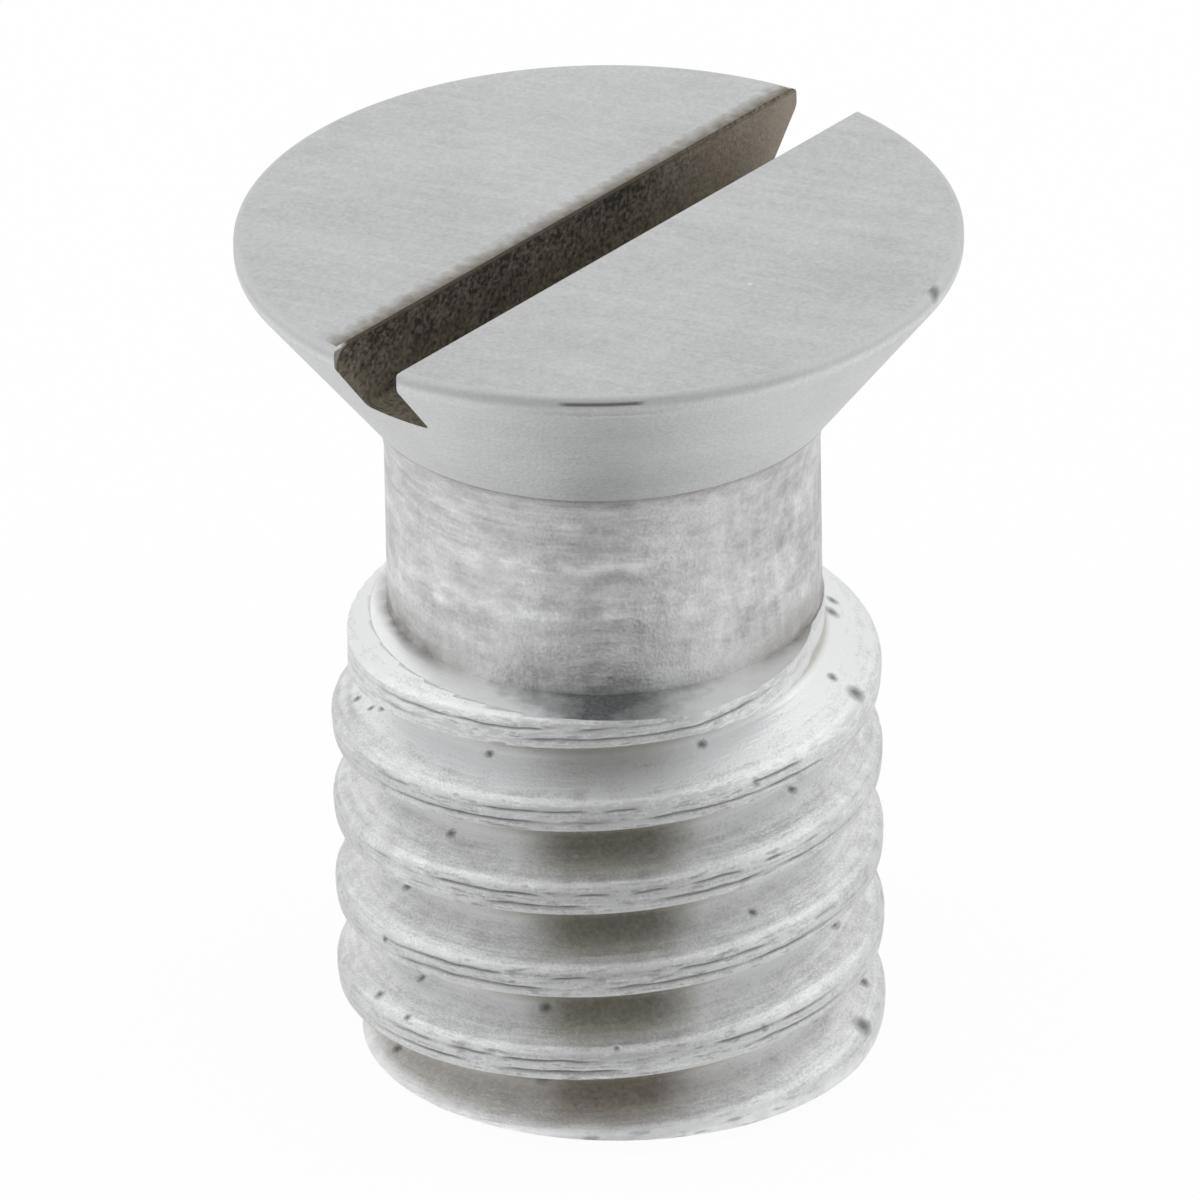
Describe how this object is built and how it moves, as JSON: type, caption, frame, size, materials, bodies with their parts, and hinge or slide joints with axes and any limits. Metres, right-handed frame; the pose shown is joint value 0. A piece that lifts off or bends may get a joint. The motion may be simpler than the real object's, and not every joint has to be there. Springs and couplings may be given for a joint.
{
  "type": "slotted countersunk screw",
  "caption": "Short steel machine screw with a flat countersunk head, straight driver slot, waisted plain shank and a coarse right-hand thread with a flat end.",
  "frame": {"origin": "middle of the flat end face, on the screw's axis", "axes": "+Z along the screw's axis towards the head, +X along the driver slot"},
  "size_m": [0.0076, 0.0078, 0.0096],
  "materials": {
    "steel": "satin, turned and worn"
  },
  "bodies": {
    "root": {"screw": "steel"}
  },
  "joints": []
}
